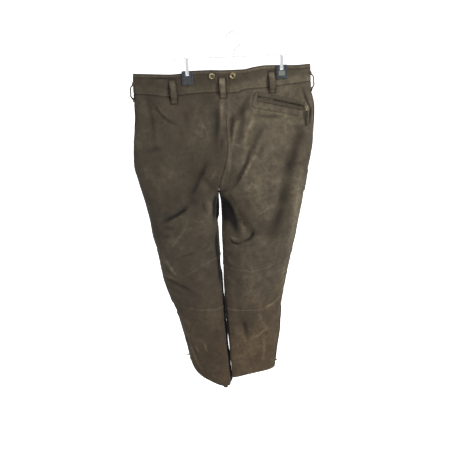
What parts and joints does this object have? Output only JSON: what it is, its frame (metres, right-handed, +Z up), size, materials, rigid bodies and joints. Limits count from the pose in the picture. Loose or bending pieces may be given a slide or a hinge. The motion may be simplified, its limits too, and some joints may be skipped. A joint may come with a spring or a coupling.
{
  "type": "hunting trousers on a clip hanger",
  "caption": "Long nubuck leather hunting trousers with belt loops, brace buttons, zipped back pocket and hem zips, hanging by the waistband from a wire hanger with clips.",
  "frame": {"origin": "inside top of the hanger's hook, where it rests on its rail", "axes": "+Z up, +Y towards the garment's front, +X towards the wearer's right"},
  "size_m": [0.5325, 0.1251, 1.1453],
  "materials": {
    "leather": "olive-brown nubuck, matt, with a soft nap and worn lighter edges",
    "leather_light": "the same nubuck, rubbed lighter",
    "leather_dark": "the same nubuck, darker",
    "brass": "antique brass, dull",
    "tape": "dark woven zip tape",
    "plastic": "dark grey, slightly satin",
    "steel": "bright drawn wire and strip"
  },
  "bodies": {
    "trousers": {"back_calf_left": "leather", "back_calf_right": "leather", "back_knee_left": "leather", "back_knee_right": "leather", "back_pocket_slider": "brass", "back_pocket_welt_lower": "leather", "back_pocket_welt_upper": "leather", "back_pocket_zip_tape": "tape", "back_thigh_left": "leather", "back_thigh_right": "leather", "belt_loop_back_left": "leather_light", "belt_loop_back_right": "leather_light", "belt_loop_centre_back": "leather_light", "belt_loop_front_left": "leather_light", "belt_loop_front_right": "leather_light", "belt_loop_side_left": "leather_light", "belt_loop_side_right": "leather_light", "brace_button_back_left": "brass", "brace_button_back_right": "brass", "brace_button_front_left_inner": "brass", "brace_button_front_left_outer": "brass", "brace_button_front_right_inner": "brass", "brace_button_front_right_outer": "brass", "fly_flap": "leather", "front_calf_left": "leather", "front_calf_right": "leather", "front_knee_left": "leather", "front_knee_right": "leather", "front_thigh_left": "leather", "front_thigh_right": "leather", "hanger_pad_back_left": "plastic", "hanger_pad_back_right": "plastic", "hanger_pad_front_left": "plastic", "hanger_pad_front_right": "plastic", "hanger_strap_left": "steel", "hanger_strap_right": "steel", "hanger_wire": "steel", "hem_tab": "leather_dark", "hem_zip_slider_left": "brass", "hem_zip_slider_right": "brass", "hem_zip_tape_left": "tape", "hem_zip_tape_right": "tape", "side_pocket_edge_left": "leather_light", "side_pocket_edge_right": "leather_light", "tool_pocket_welt": "leather_light", "waist_button": "brass", "waistband_back_left": "leather", "waistband_back_right": "leather", "waistband_front_left": "leather", "waistband_front_right": "leather", "waistband_overlap": "leather"},
    "pocket_pull": {"back_pocket_pull": "brass", "back_pocket_thong": "leather"},
    "hem_pull_left": {"hem_zip_pull_left": "brass"},
    "hem_pull_right": {"hem_zip_pull_right": "brass"}
  },
  "joints": [
    {"name": "pocket_pull_swing", "type": "hinge", "parent": "trousers", "child": "pocket_pull", "pos_m": [0.20054, -0.0199, -0.20342], "axis": [-0.9933, -0.1152, 0], "range_deg": [0, 110]},
    {"name": "hem_pull_left_swing", "type": "hinge", "parent": "trousers", "child": "hem_pull_left", "pos_m": [-0.19623, 0.02215, -1.04855], "axis": [-0.0855, 0.9963, 0], "range_deg": [0, 110]},
    {"name": "hem_pull_right_swing", "type": "hinge", "parent": "trousers", "child": "hem_pull_right", "pos_m": [0.11879, -0.00423, -1.06655], "axis": [-0.3153, -0.949, 0], "range_deg": [0, 110]}
  ]
}
